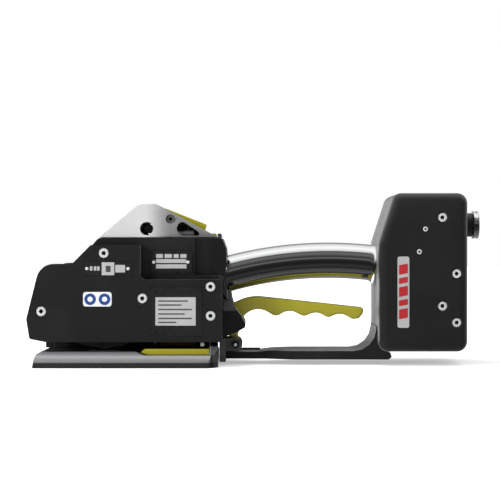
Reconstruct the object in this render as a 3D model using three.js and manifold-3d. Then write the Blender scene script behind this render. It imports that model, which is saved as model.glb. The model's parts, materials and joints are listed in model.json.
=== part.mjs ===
// A hand-held strapping tool that is driven by compressed air.
// It tensions a plastic strap, friction-welds it and cuts it.
// Millimetres, +Z up, +X from the strap head towards the rear housing, -Y the side where the strap is put in.
// The origin is on the standing plane, at the middle of the overall length and width.
import * as THREE from "three";
import { mergeVertices } from "three/addons/utils/BufferGeometryUtils.js";
import Module from "manifold-3d";

const wasm = await Module();
wasm.setup();

// ---------------------------------------------------------------- driving dimensions
const GAP = 0.3; // between touching pieces
const NEAR = -58; // outer face of the side cover
const FAR = 56; // outer face of the far cover
const CAST_NEAR = -48.6; // the head casting's two side faces
const CAST_FAR = 48;
const BASE_NEAR = -70; // thin edge of the base's ramp
const BASE_FAR = 46;
const DECK = 118; // top of the head casting, where the hood sits
const STRAP_FLOOR = 14.1; // base top in front, and at the rear under the weld shoe
const WELD_FLOOR = 11.1;
const HEAD_REAR = -35; // back face of the head casting
const FRAME_HALF = 32; // half the width of the rear frame
const HOUSING_FRONT = 112;
const HOUSING_REAR = 194;
const HOUSING_HALF = 48;
const HOUSING_BOTTOM = 13;
const HOUSING_TOP = 159.2;
const TUBE_R = 16.9; // handle grip
const TUBE_ARC = 360; // radius of the handle's curve
const TUBE_APEX = [68, 113.8]; // highest point of the handle's centreline
const INLET_Z = 130.5;

// axes of what turns about Y, as [x, z]
const MOTOR = [-176, 66]; // tension motor, and the rocker's pivot
const WHEEL = [-140, 36]; // feed wheel
const LEVER = [-19.9, 18.3]; // hand lever's pivot
const PADDLE = [-80.5, 138.5]; // tension paddle's pin
const ECCENTRIC = [-57, 36]; // weld motor and eccentric
const WELD_AXIS = [-72, -28]; // weld piston's axis, as [x, y]
const SPOOL_AXIS = [-66, 0];
const LIFT_AXIS = [-6, 56]; // the lift rod's axis, as [y, z]
const BUTTON_AXIS = [-40.5, 0];
const ADJUSTER = [-25, 121.9]; // the weld-time screw's axis, as [y, z]

const WHEEL_R = 20.4;
const MODULE = 1.5; // gear module, and the teeth of the three gears
const PINION_TEETH = 12;
const IDLER_TEETH = 20;
const WHEEL_TEETH = 22;
const SHAFT_R = 5;

// ---------------------------------------------------------------- materials
const finish = (color, roughness, metalness) =>
  new THREE.MeshStandardMaterial({ color, roughness, metalness });
const BLACK = finish(0x1c1c1d, 0.42, 0.1);
const SATIN_BLACK = finish(0x202021, 0.35, 0.3);
const SILVER = finish(0xc9cacb, 0.28, 1);
const CHROME = finish(0xdadcde, 0.1, 1);
const STEEL = finish(0x8d8f92, 0.38, 1);
const YELLOW = finish(0xa9a62c, 0.45, 0);
const BRONZE = finish(0x7d4f2c, 0.4, 0.9);
const RUBBER = finish(0x161616, 0.8, 0);
const LABEL = finish(0x222223, 0.5, 0.2);

// ---------------------------------------------------------------- shaping tools
// The outline of a polygon whose corners are [u, v] or [u, v, radius], with each radius drawn as an arc.
function outline(corners, step = 24) {
  const points = [];
  corners.forEach(([u, v, r = 0], i) => {
    const here = new THREE.Vector2(u, v);
    const [pu, pv] = corners[(i + corners.length - 1) % corners.length];
    const [nu, nv] = corners[(i + 1) % corners.length];
    const back = new THREE.Vector2(pu, pv).sub(here).normalize();
    const on = new THREE.Vector2(nu, nv).sub(here).normalize();
    if (!r) return points.push(here);
    const half = Math.acos(THREE.MathUtils.clamp(back.dot(on), -1, 1)) / 2;
    const centre = here
      .clone()
      .addScaledVector(back.clone().add(on).normalize(), r / Math.sin(half));
    const from = here.clone().addScaledVector(back, r / Math.tan(half)).sub(centre);
    const to = here.clone().addScaledVector(on, r / Math.tan(half)).sub(centre);
    const turn = Math.atan2(from.cross(to), from.dot(to));
    const parts = Math.max(2, Math.ceil(Math.abs(turn) / THREE.MathUtils.degToRad(step)));
    for (let k = 0; k <= parts; k++)
      points.push(
        from.clone().rotateAround(new THREE.Vector2(), (turn * k) / parts).add(centre),
      );
  });
  return points;
}

const circle = (u, v, r, sides = 20) =>
  Array.from({ length: sides }, (_, k) => {
    const a = (2 * Math.PI * (k + 0.5)) / sides;
    return new THREE.Vector2(u + r * Math.cos(a), v + r * Math.sin(a));
  });

const rectangle = (u0, v0, u1, v1, r = 0) =>
  outline([
    [u0, v0, r],
    [u1, v0, r],
    [u1, v1, r],
    [u0, v1, r],
  ]);

// A closed geometry as a solid that can be joined and cut.
function solid(geometry) {
  const bare = geometry.index ? geometry.toNonIndexed() : geometry.clone();
  bare.deleteAttribute("normal");
  bare.deleteAttribute("uv");
  const merged = mergeVertices(bare, 1e-4);
  return new wasm.Manifold(
    new wasm.Mesh({
      numProp: 3,
      vertProperties: new Float32Array(merged.attributes.position.array),
      triVerts: new Uint32Array(merged.index.array),
    }),
  );
}

function extruded(points, length, basis, offset) {
  const g = new THREE.ExtrudeGeometry(new THREE.Shape(points), {
    depth: length,
    bevelEnabled: false,
    steps: 1,
  });
  return solid(g.applyMatrix4(new THREE.Matrix4().makeBasis(...basis).setPosition(offset)));
}

const X = new THREE.Vector3(1, 0, 0);
const Y = new THREE.Vector3(0, 1, 0);
const Z = new THREE.Vector3(0, 0, 1);
// outline in X and Z, thick from y0 to y1
const alongY = (points, y0, y1) =>
  extruded(points, y1 - y0, [X, Z, Y.clone().negate()], new THREE.Vector3(0, y1, 0));
// outline in X and Y, from z0 to z1
const alongZ = (points, z0, z1) =>
  extruded(points, z1 - z0, [X, Y, Z], new THREE.Vector3(0, 0, z0));
// outline in Y and Z, from x0 to x1
const alongX = (points, x0, x1) =>
  extruded(points, x1 - x0, [Y, Z, X], new THREE.Vector3(x0, 0, 0));
const rodY = ([x, z], r, y0, y1, sides) => alongY(circle(x, z, r, sides), y0, y1);
const rodZ = ([x, y], r, z0, z1, sides) => alongZ(circle(x, y, r, sides), z0, z1);
const rodX = ([y, z], r, x0, x1, sides) => alongX(circle(y, z, r, sides), x0, x1);
const block = (x0, x1, y0, y1, z0, z1) => alongZ(rectangle(x0, y0, x1, y1), z0, z1);
const join = (first, ...rest) => rest.reduce((a, b) => a.add(b), first);
const cut = (first, ...rest) => rest.reduce((a, b) => a.subtract(b), first);

const tool = new THREE.Group();
function part(name, made, material, parent = tool) {
  const { numProp, numVert, vertProperties, triVerts } = made.getMesh();
  const positions = new Float32Array(numVert * 3);
  for (let i = 0; i < numVert; i++)
    positions.set(vertProperties.subarray(i * numProp, i * numProp + 3), i * 3);
  const g = new THREE.BufferGeometry()
    .setAttribute("position", new THREE.BufferAttribute(positions, 3))
    .setIndex(new THREE.BufferAttribute(triVerts, 1));
  const flat = g.toNonIndexed();
  flat.computeVertexNormals();
  const mesh = new THREE.Mesh(flat, material);
  mesh.name = name;
  parent.add(mesh);
  return mesh;
}

// ---------------------------------------------------------------- base with the strap channel
// The cross-section has a thin near edge and a convex ramp that the strap slides up.
function rampSection(top) {
  const rise = 8;
  const ramp = Array.from({ length: rise + 1 }, (_, k) => {
    const t = ((Math.PI / 2) * k) / rise;
    return new THREE.Vector2(
      BASE_NEAR + 13 * (1 - Math.cos(t)),
      3.4 + (top - 3.4) * Math.sin(t),
    );
  });
  return [
    new THREE.Vector2(BASE_NEAR, 0),
    ...ramp,
    new THREE.Vector2(BASE_FAR, top),
    new THREE.Vector2(BASE_FAR, 0),
  ];
}

const GRIP = { x0: -154, x1: -126, y0: -44, y1: -10, floor: 11.2, top: 15.2 };

function basePlate() {
  const side = outline([
    [-203, 0],
    [-200.5, STRAP_FLOOR, 6],
    [-110.5, STRAP_FLOOR, 8],
    [-102, WELD_FLOOR, 8],
    [-36.5, WELD_FLOOR],
    [-36.5, 0],
  ]);
  const plan = outline([
    [-203.5, BASE_NEAR, 3],
    [-43, BASE_NEAR, 6],
    [-36, -58, 4],
    [-36, BASE_FAR],
    [-203.5, BASE_FAR, 8],
  ]);
  const plate = alongX(rampSection(STRAP_FLOOR), -206, -36)
    .intersect(alongY(side, BASE_NEAR - 1, BASE_FAR + 1))
    .intersect(alongZ(plan, -1, 30));
  const bed = block(-196, -45, 15, BASE_FAR, 8, 23.9);
  const trough = block(-188, -53, 22, BASE_FAR - 7, 6, 40);
  const pocket = block(
    GRIP.x0 - GAP,
    GRIP.x1 + GAP,
    GRIP.y0 - GAP,
    GRIP.y1 + GAP,
    GRIP.floor - GAP,
    40,
  );
  return cut(join(plate, bed), trough, pocket);
}

// A hardened plate whose cross ridges hold the strap under the feed wheel, or under the weld shoe.
function ridgedPlate(x0, x1, y0, y1, z0, z1, ridges) {
  const pitch = (x1 - x0) / ridges;
  const top = [];
  for (let k = 0; k < ridges; k++)
    top.push(
      new THREE.Vector2(x0 + k * pitch, z1 - 0.7),
      new THREE.Vector2(x0 + (k + 0.5) * pitch, z1),
    );
  return alongY(
    [
      new THREE.Vector2(x0, z0),
      ...top,
      new THREE.Vector2(x1, z1 - 0.7),
      new THREE.Vector2(x1, z0),
    ],
    y0,
    y1,
  );
}

const strapRail = () =>
  alongY(
    outline([
      [-105.8, 13.4],
      [-102, 16.6, 1],
      [-43.4, 16.6, 0.6],
      [-43.4, WELD_FLOOR + GAP],
      [-99.5, WELD_FLOOR + GAP],
    ]),
    -57,
    -53.8,
  );

// A polished tongue behind the channel, convex towards the strap side.
function rearStrapGuide() {
  const face = outline([
    [-68.5, 0.3, 2],
    [-66.5, 12, 8],
    [-58, 19.4, 5],
    [-53.8, 19.4, 1],
    [-53.8, WELD_FLOOR + 1, 0.5],
    [-57, 0.3, 1],
  ]);
  const nose = outline([
    [-42.8, -72],
    [-41, -72],
    [-35.2, -60, 6],
    [-35.2, -50],
    [-42.8, -50],
  ]);
  return cut(
    alongX(face, -42.8, -35.2).intersect(alongZ(nose, -1, 30)),
    basePlate(),
    basePlate().translate([GAP, -GAP, GAP]),
  );
}

const frontStrapStop = () =>
  join(
    block(-204, -178, -6, 2, 21.2, 23.9),
    block(-199.4, -193.7, -6, 2, 14.5, 22),
    block(-191.3, -178.1, -6, 2, 14.5, 22),
  );

// ---------------------------------------------------------------- head casting and covers
const COVER_SCREWS = [
  [-139.5, 103.9],
  [-196.5, 50.8],
  [-104.3, 62.6],
  [-42.3, 73.3],
  [-42.3, 46.8],
];

function headCasting() {
  const outer = outline([
    [-145, DECK, 6],
    [-57.3, DECK],
    [-57.3, 83.6],
    [HEAD_REAR, 83.6, 1],
    [HEAD_REAR, 24.2, 1],
    [-192, 24.2, 3],
    [-205.8, 26.8, 2],
    [-208.6, 44, 5],
    [-196.3, 92.8, 15],
    [-169, 92.8, 5],
    [-152.4, 109.4, 2],
  ]);
  const frontChamber = outline([
    [-198, 10],
    [-200.5, 44],
    [-190, 87, 8],
    [-163, 87, 3],
    [-151, 99, 3],
    [-112, 99, 4],
    [-112, 10],
  ]);
  const rearChamber = rectangle(-100, 10, -43, 78, 3);
  const bosses = COVER_SCREWS.map((at) => rodY(at, 6, CAST_NEAR, -30, 16));
  const bores = COVER_SCREWS.map((at) => rodY(at, 2.8, -60, -34, 12));
  const adjusterLug = block(-86, -77, -31, -19, DECK - 2, 127);
  return cut(
    join(
      cut(
        alongY(outer, CAST_NEAR, CAST_FAR),
        alongY(frontChamber, -70, 12),
        alongY(frontChamber, 16, 70),
        alongY(rearChamber, -70, 70),
        alongY(rectangle(-108, 84, -80, 112, 4), -36, 70),
      ),
      ...bosses,
      adjusterLug,
    ),
    ...bores,
    rodY(MOTOR, SHAFT_R + GAP, 5, 20, 20),
    rodX(ADJUSTER, 2.7, -90, -70, 12),
    rodX(LIFT_AXIS, 3.4, -120, -30, 16),
    rodZ(SPOOL_AXIS, 4.3, 92, 130, 18),
  );
}

const COVER_CORNERS = [
  [-151.3, 111.2, 1],
  [-168.2, 94.1, 5],
  [-197.4, 94.1, 16],
  [-210, 43.9, 6],
  [-207.1, 25.8, 2],
  [-192.4, 22.9, 4],
  [-31.8, 22.9, 1.5],
];

// Shallow pockets for the riveted plates, as [x0, z0, x1, z1].
const RATING = [-96.8, 28, -49.6, 73.2];
const SERVICE = [-158.1, 83.4, -113.4, 96.2];
const NAME = [-97.3, 85.8, -59.5, 105.8];
const platePocket = ([x0, z0, x1, z1]) =>
  alongY(rectangle(x0 - 0.4, z0 - 0.4, x1 + 0.4, z1 + 0.4, 2), NEAR - 2, NEAR + 1);

const sideCover = () =>
  cut(
    alongY(
      outline(
        [...COVER_CORNERS, [-31.8, 79.8, 1.5], [-106.3, 79.8, 6], [-106.3, 111.2, 1]],
        12,
      ),
      NEAR,
      CAST_NEAR - GAP,
    ),
    platePocket(RATING),
    platePocket(SERVICE),
    ...COVER_SCREWS.map((at) => rodY(at, 5.4, NEAR - 1, NEAR + 5, 20)),
    ...COVER_SCREWS.map((at) => rodY(at, 2.9, NEAR - 1, CAST_NEAR + 1, 12)),
  );

const farCover = () =>
  join(
    alongY(
      outline([...COVER_CORNERS, [-31.8, 82, 6], [-60, 82, 6], [-60, 111.2, 6]], 12),
      CAST_FAR + GAP,
      FAR,
    ),
    rodY(ECCENTRIC, 17, FAR - 1, FAR + 8, 32),
  );

// A vented cap over the tension motor's exhaust.
function exhaustCap() {
  const [x, z] = MOTOR;
  const slots = [-9, -3, 3, 9].map((dz) =>
    block(x - 13, x + 13, 66, 72, z + dz - 1.2, z + dz + 1.2),
  );
  return cut(
    join(rodY(MOTOR, 21, FAR + GAP, 67, 36), rodY(MOTOR, 18.5, 66, 70, 36)),
    rodY(MOTOR, 16.5, FAR, 67.4, 28),
    ...slots,
  );
}

const plate = ([x0, z0, x1, z1], back) =>
  alongY(rectangle(x0, z0, x1, z1, 1.8), back - 0.7, back);

// A cap screw along +Y with its head's face at y = 0: head, six-sided socket and shank.
function capScrew(headR, headH, shankR, length, socketR) {
  return cut(
    join(
      rodY([0, 0], headR, 0, headH, 16),
      rodY([0, 0], shankR, headH - 0.5, length, 10),
    ),
    rodY([0, 0], socketR, -1, headH * 0.55, 6),
  );
}

// ---------------------------------------------------------------- hood
function hoodBlock(inset) {
  const s = inset;
  const low = DECK + GAP - (inset ? 10 : 0);
  const side = outline([
    [-145.2 + s * 1.9 - (inset ? 11.9 : 0), low],
    [-108.7 + s * 0.35, 149 - s, 14 - s],
    [-92.7 - s * 0.25, 149 - s, 8],
    [-38.5 - s * 2.1 + (inset ? 18.2 : 0), low],
  ]);
  const half = 48 - s;
  const plan = outline([
    [-160, -half],
    [-92, -half, 10],
    [-30, -(half - 18), 4],
    [-30, half - 18, 4],
    [-92, half, 10],
    [-160, half],
  ]);
  return alongY(side, -60, 60).intersect(alongZ(plan, 100, 160));
}

const HOOD_SCREW = [-79.4, 135.2];
const HOOD_HOLE = [-101.1, 126.3];

function hood() {
  const [px, pz] = PADDLE;
  const lug = (y0, y1) => block(px - 5, px + 2.5, y0, y1, pz - 5, pz + 2.2);
  const window = outline([
    [-74.5, 126, 4],
    [-71.5, 132.4, 4],
    [-67, 132.4, 4],
    [-53.5, 123.2, 2.5],
    [-53, 119.8, 1.5],
    [-70, 119.8, 5],
  ]);
  return cut(
    join(
      cut(
        hoodBlock(0),
        hoodBlock(4.5),
        block(-88, -45.5, -13.5, 13.5, 100, 160),
        block(-46, -20, -9, 9, 100, 160),
      ),
      lug(-18, -13.8),
      lug(13.8, 18),
    ),
    rodY(PADDLE, 1.8, -30, 30, 12),
    rodY(HOOD_HOLE, 6.1, -60, 60, 28),
    alongY(window, -60, 0),
    rodY(HOOD_SCREW, 4.1, -60, -41.8, 20),
    rodY(HOOD_SCREW, 4.1, 41.8, 60, 20),
  );
}

// ---------------------------------------------------------------- rear of the head
function rearBlock() {
  const side = outline([
    [-57, 84.2, 0.5],
    [-29.2, 84.2, 1],
    [-27.6, 97],
    [-28.4, 108],
    [-32, 117.8, 2],
    [-57, 117.8],
  ]);
  const plan = outline([
    [-57, -46],
    [-42, -44, 20],
    [-26, -34, 10],
    [-26, 34, 10],
    [-42, 44, 20],
    [-57, 46],
  ]);
  return cut(
    alongY(side, -50, 50).intersect(alongZ(plan, 70, 130)),
    rodX([0, 99.2], TUBE_R + 1.2, -32, -20, 32),
    block(-32, -20, -20.4, 20.4, 80, 92),
    block(-47, -20, -9, 9, 114.2, 130),
    rodZ(BUTTON_AXIS, 3.4, 98, 125, 16),
  );
}

function footPlate() {
  const lug = (y0, y1) =>
    join(block(-30, LEVER[0], y0, y1, 12, 24), rodY(LEVER, 6.4, y0, y1, 24));
  const sheet = block(-34.7, -32, -FRAME_HALF, FRAME_HALF, 2.8, 83.4);
  const toe = block(-33, -28.9, -FRAME_HALF, FRAME_HALF, 2.8, 24.2);
  return cut(
    join(cut(join(sheet, toe), block(-40, -20, -13, 13, 26, 61)), lug(-20, -16.5), lug(12.4, 17)),
    rodY(LEVER, 2.8, -30, 30, 14),
    block(-40, -26.5, -12.2, 12.2, 11, 40),
  );
}

function leverBracket() {
  const side = outline([
    [-31.6, 25.6],
    [-18.2, 30.8, 1.5],
    [-10.5, 35.2, 1.5],
    [-10.5, 38.4, 2],
    [-14, 45.5, 3],
    [-21.4, 55.4, 8],
    [-23.1, 61, 6],
    [-23.9, 67.4, 3],
    [-27.4, 71, 1],
    [-27.4, 60.6],
    [-31.6, 60.6],
  ]);
  const front = outline([
    [-36, 20],
    [-36, 50.3],
    [-18, 71.5, 2],
    [18, 71.5, 2],
    [36, 50.3],
    [36, 20],
  ]);
  return cut(
    alongY(side, -40, 40).intersect(alongX(front, -40, 0)),
    block(-40, 0, -12.8, 12.8, 0, 64),
    ...FLANGE_SCREWS.map((at) => rodX(at, 4.6, -29, -20, 16)),
  );
}

// ---------------------------------------------------------------- handle and frame
// A round bar along the grip's arc. Each station is its place along X and its radius there.
function bentBar(stations, sides) {
  const heightAt = (x) =>
    TUBE_APEX[1] - TUBE_ARC + Math.sqrt(TUBE_ARC ** 2 - (x - TUBE_APEX[0]) ** 2);
  const positions = [];
  const index = [];
  stations.forEach(([x, r]) => {
    for (let k = 0; k < sides; k++) {
      const a = (2 * Math.PI * k) / sides;
      positions.push(x, r * Math.cos(a), heightAt(x) + r * Math.sin(a));
    }
  });
  for (let i = 0; i + 1 < stations.length; i++)
    for (let k = 0; k < sides; k++) {
      const a = i * sides + k;
      const b = i * sides + ((k + 1) % sides);
      index.push(a, b, b + sides, a, b + sides, a + sides);
    }
  const last = (stations.length - 1) * sides;
  for (let k = 1; k + 1 < sides; k++) {
    index.push(0, k + 1, k);
    index.push(last, last + k, last + k + 1);
  }
  const g = new THREE.BufferGeometry()
    .setAttribute("position", new THREE.BufferAttribute(new Float32Array(positions), 3))
    .setIndex(index);
  return solid(g);
}

const FLANGE = { x0: -31.7, x1: -27.9, half: 19, z0: 61.5, z1: 91 };
const FLANGE_SCREWS = [
  [-11, 76.6],
  [11, 76.6],
]; // [y, z]

// The grip is a bent tube, open and flared where it meets the housing, with a flange that is screwed to the head.
function handleTube() {
  const wall = 3.4;
  const end = HOUSING_FRONT - GAP;
  const straight = Array.from({ length: 8 }, (_, k) => -22 + (k * 124) / 7);
  const outside = [
    [FLANGE.x0, TUBE_R],
    ...straight.map((x) => [x, TUBE_R]),
    [106, TUBE_R + 0.7],
    [109.3, TUBE_R + 2.2],
    [end, TUBE_R + 5],
  ];
  const inside = [...straight, end + 5].map((x) => [x, TUBE_R - wall]);
  const { x0, x1, half, z0, z1 } = FLANGE;
  const flange = alongX(rectangle(-half, z0, half, z1, 4), x0, x1);
  const bores = FLANGE_SCREWS.map((at) => rodX(at, 2.8, x0 - 8, x1 + 8, 12));
  return cut(join(bentBar(outside, 24), flange), bentBar(inside, 20), ...bores);
}

function supportFrame() {
  const side = outline([
    [-28.6, 5],
    [122, 5, 1],
    [125.5, 7, 2],
    [124, 11.6, 1],
    [111.7, 14.5, 12],
    [HOUSING_FRONT - GAP, 36],
    [HOUSING_FRONT - 1.1, 36],
    [110, 13, 21],
    [14, 13, 6],
    [0, 11.4, 6],
    [-28.6, 11.4],
  ]);
  const narrow = 20;
  const plan = outline([
    [-40, -narrow],
    [8.5, -narrow],
    [32.7, -FRAME_HALF],
    [130, -FRAME_HALF],
    [130, FRAME_HALF],
    [32.7, FRAME_HALF],
    [8.5, narrow],
    [-40, narrow],
  ]);
  return cut(
    alongY(side, -40, 40).intersect(alongZ(plan, 0, 60)),
    alongY(housingOutline(-GAP), -50, 50),
  );
}

// ---------------------------------------------------------------- rear housing
const HOUSING_SCREWS = [
  [170.3, 136.6],
  [183.3, 85],
  [170.3, 55.3],
  [183.3, 40.1],
];

function housingOutline(inset) {
  const s = inset;
  const r = 9.5 - s * 0.8;
  return outline(
    [
      [HOUSING_FRONT + s, HOUSING_BOTTOM + s, r],
      [HOUSING_REAR - s, HOUSING_BOTTOM + s, r],
      [HOUSING_REAR - s, HOUSING_TOP - s, r],
      [126.5 + s * 0.6, HOUSING_TOP - s, r],
      [HOUSING_FRONT + s, 114 - s * 0.15, 14],
    ],
    20,
  );
}

// The two shells as one body with rounded long edges, made from slabs that shrink towards each side face.
function housingBody() {
  const round = 8;
  const steps = 3;
  let body = alongY(housingOutline(0), -HOUSING_HALF + round, HOUSING_HALF - round);
  let y = HOUSING_HALF - round;
  for (let k = 1; k <= steps; k++) {
    const a = ((Math.PI / 2) * k) / steps;
    const b = ((Math.PI / 2) * (k - 0.5)) / steps;
    const next = HOUSING_HALF - round + round * Math.sin(a);
    const inset = round * (1 - Math.cos(b));
    body = join(
      body,
      alongY(housingOutline(inset), -next, -y + 0.1),
      alongY(housingOutline(inset), y - 0.1, next),
    );
    y = next;
  }
  return body;
}

function housingShell(side) {
  const keep =
    side < 0
      ? block(60, 260, -100, -0.5, -50, 250)
      : block(60, 260, 0.5, 100, -50, 250);
  const wall = 4.5;
  const cavity = alongY(
    housingOutline(wall),
    side < 0 ? -HOUSING_HALF + wall : -1,
    side < 0 ? 1 : HOUSING_HALF - wall,
  );
  const bosses = HOUSING_SCREWS.map((at) =>
    side < 0 ? rodY(at, 7, -46, -0.5, 18) : rodY(at, 7, 0.5, 46, 18),
  );
  const bores = HOUSING_SCREWS.map((at) =>
    side < 0 ? rodY(at, 2.8, -60, 5, 12) : rodY(at, 2.8, -5, 20, 12),
  );
  const sinks = HOUSING_SCREWS.map((at) => rodY(at, 4.9, -60, -HOUSING_HALF + 5, 20));
  return cut(
    join(cut(housingBody().intersect(keep), cavity), ...bosses),
    ...bores,
    ...(side < 0 ? sinks : []),
    rodX([0, INLET_Z], 8.4, 180, 210, 24),
  );
}

const housingGasket = () =>
  cut(
    alongY(housingOutline(0.8), -0.2, 0.2),
    alongY(housingOutline(3.9), -2, 2),
    rodX([0, INLET_Z], 8.4, 180, 210, 20),
  );

const valveBlock = () =>
  cut(
    block(128, 162, -30, 30, 62, 122),
    ...[75, 92, 109].map((z) => rodX([0, z], 6, 120, 170, 18)),
  );

const inletBody = () =>
  cut(
    join(
      rodX([0, INLET_Z], 11.2, HOUSING_REAR + GAP, 204.3, 32),
      rodX([0, INLET_Z], 8, 178, HOUSING_REAR + 1, 24),
    ),
    rodX([0, INLET_Z], 5.5, 185, 220, 20),
  );

function inletSwivel() {
  const ridge = (x0, x1, r) => rodX([0, INLET_Z], r, x0, x1, 36);
  return cut(
    join(ridge(204.6, 206.8, 13.1), ridge(206, 208.4, 12.2), ridge(207.8, 210, 13.1)),
    rodX([0, INLET_Z], 6.4, 200, 215, 24),
  );
}

// ---------------------------------------------------------------- hand lever
function handLever() {
  const grip = outline(
    [
      [-22, 56.8, 3],
      [-6.6, 64.2, 42],
      [100.4, 52.6, 2],
      [100.5, 47.6, 3],
      [96.5, 42.4, 5],
      [89.8, 42, 4],
      [79, 48.4, 19],
      [67.6, 43.1, 4],
      [56, 49.4, 19],
      [44.6, 44.3, 4],
      [30.9, 51, 16.5],
      [18, 44.5, 4],
      [-1.2, 55.3, 17],
      [-12.5, 44, 2],
      [-17.8, 27, 3],
      [-14.2, 12.3, 5],
      [-25.8, 12.3, 5],
      [-26.4, 34, 10],
    ],
    20,
  );
  return cut(alongY(grip, -11.5, 11.5), rodY(LEVER, 2.8, -20, 20, 14));
}

const leverPin = () =>
  join(rodY(LEVER, 2.4, -21.2, 18.5, 14), rodY(LEVER, 3.6, -22.4, -20.3, 18));

// The return spring's coil sits on the pin, and its long leg lies along the frame.
const leverSpring = () =>
  join(
    cut(rodY(LEVER, 5.6, -15.8, -12.1, 22), rodY(LEVER, 3.1, -20, -10, 16)),
    rodX([-14, 14], 1.1, LEVER[0], 3.1, 8),
  );

// The lever pushes this rod forwards. Its wedge-shaped end slides under the rocker's lug.
function liftRod() {
  const wedge = outline([
    [-120, 60],
    [-120, 54],
    [-113.5, 54],
    [-99.8, 59],
    [-99.8, 60],
  ]);
  return cut(rodX(LIFT_AXIS, 3, -113.5, -23.3, 16), alongY(wedge, -12, 0));
}

// ---------------------------------------------------------------- rocker with the feed wheel and gears
// Where two circles about a and b cross, on the upper side of the line from a to b.
function crossing([ax, az], ra, [bx, bz], rb) {
  const d = Math.hypot(bx - ax, bz - az);
  const along = (ra * ra - rb * rb + d * d) / (2 * d);
  const up = Math.sqrt(ra * ra - along * along);
  const [ux, uz] = [(bx - ax) / d, (bz - az) / d];
  return [ax + along * ux - up * uz, az + along * uz + up * ux];
}

const pitchRadius = (teeth) => (MODULE * teeth) / 2;
const IDLER = crossing(
  MOTOR,
  pitchRadius(PINION_TEETH) + pitchRadius(IDLER_TEETH),
  WHEEL,
  pitchRadius(IDLER_TEETH) + pitchRadius(WHEEL_TEETH),
);

// The rim of a spur gear with involute flanks. phase is the angle of one tooth's middle.
function gearRim([cx, cz], teeth, phase) {
  const rp = pitchRadius(teeth);
  const pressure = THREE.MathUtils.degToRad(20);
  const rb = rp * Math.cos(pressure);
  const tip = rp + 0.75 * MODULE;
  const root = rp - 1.1 * MODULE;
  const backlash = 0.16;
  const involute = (r) => {
    const a = Math.acos(Math.min(1, rb / r));
    return Math.tan(a) - a;
  };
  const halfAtPitch = Math.PI / (2 * teeth) - backlash / rp;
  const half = (r) => halfAtPitch + involute(rp) - involute(Math.max(r, rb));
  const levels = [root, Math.max(rb, root + 0.3), rp, tip];
  const points = [];
  const push = (r, a) =>
    points.push(new THREE.Vector2(cx + r * Math.cos(a), cz + r * Math.sin(a)));
  for (let k = 0; k < teeth; k++) {
    const middle = phase + (2 * Math.PI * k) / teeth;
    levels.forEach((r) => push(r, middle - half(r)));
    [...levels].reverse().forEach((r) => push(r, middle + half(r)));
  }
  return points;
}

const headingOf = ([ax, az], [bx, bz]) => Math.atan2(bz - az, bx - ax);
// The phase that puts gear b in mesh with gear a.
function meshed(a, teethA, phaseA, b, teethB) {
  const line = headingOf(a, b);
  const turn = ((line - phaseA) * teethA) / (2 * Math.PI);
  return line + Math.PI - ((0.5 - turn) * 2 * Math.PI) / teethB;
}
const WHEEL_PHASE = 0;
const IDLER_PHASE = meshed(WHEEL, WHEEL_TEETH, WHEEL_PHASE, IDLER, IDLER_TEETH);
const PINION_PHASE = meshed(IDLER, IDLER_TEETH, IDLER_PHASE, MOTOR, PINION_TEETH);

// The rocker carries the wheel between two cheeks. Its far cheek ends in a lug that the lift rod's wedge raises.
function rocker() {
  const front = [
    [-166, 78, 6],
    [-182, 78, 9],
    [-188, 66, 10],
    [-184, 54],
    [-170, 26, 6],
    [-164, 20.9],
    [-152, 18.2],
    [-140, 17.3],
  ];
  const nearCheek = outline([
    ...front,
    [-128, 18.2],
    [-119, 20.4, 2],
    [-117, 30, 6],
    [-119, 66, 4],
    [-158, 68, 4],
  ]);
  const farCheek = outline([
    ...front,
    [-130, 17.8, 2],
    [-127.5, 30],
    [-127.5, 50.9, 1],
    [-113.6, 54.7],
    [-113.6, 66, 3],
    [-158, 68, 4],
  ]);
  const bridge = block(-158, -121, -47, -3, 60.5, 66);
  return cut(
    join(
      alongY(nearCheek, -47, -42.4),
      alongY(farCheek, -9, -3),
      bridge,
      rodY(IDLER, 3.6, -4, 9.6, 16),
    ),
    rodY(MOTOR, SHAFT_R + GAP, -60, 0, 20),
    rodY(WHEEL, SHAFT_R + GAP, -60, 0, 20),
  );
}

// The feed wheel's rim has fine cross teeth.
function feedWheel() {
  const teeth = 36;
  const rim = [];
  for (let k = 0; k < teeth; k++) {
    const a = (2 * Math.PI * k) / teeth;
    const b = a + Math.PI / teeth;
    rim.push(
      new THREE.Vector2(WHEEL[0] + WHEEL_R * Math.cos(a), WHEEL[1] + WHEEL_R * Math.sin(a)),
      new THREE.Vector2(
        WHEEL[0] + (WHEEL_R - 0.9) * Math.cos(b),
        WHEEL[1] + (WHEEL_R - 0.9) * Math.sin(b),
      ),
    );
  }
  return join(alongY(rim, -40.5, -12), rodY(WHEEL, SHAFT_R, -46.8, 10, 20));
}

const wheelGear = () =>
  cut(
    alongY(gearRim(WHEEL, WHEEL_TEETH, WHEEL_PHASE), 0, 9),
    rodY(WHEEL, SHAFT_R + GAP, -5, 15, 20),
  );
const idlerGear = () =>
  cut(alongY(gearRim(IDLER, IDLER_TEETH, IDLER_PHASE), 0, 9), rodY(IDLER, 3.9, -5, 15, 16));
const tensionRotor = () =>
  join(
    rodY(MOTOR, SHAFT_R, -46.8, 46.5, 20),
    alongY(gearRim(MOTOR, PINION_TEETH, PINION_PHASE), 0, 9.4),
    rodY(MOTOR, 13, 21, 43, 28),
  );

// An air motor's body: a tube with an end wall at each side, open where its shaft goes through.
const airMotor = (at, outer, inner, shaft, y0, y1) =>
  cut(
    rodY(at, outer, y0, y1, 32),
    rodY(at, inner, y0 + 3.5, y1 - 3, 28),
    rodY(at, shaft, y0 - 5, y1 + 5, 20),
  );

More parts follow.
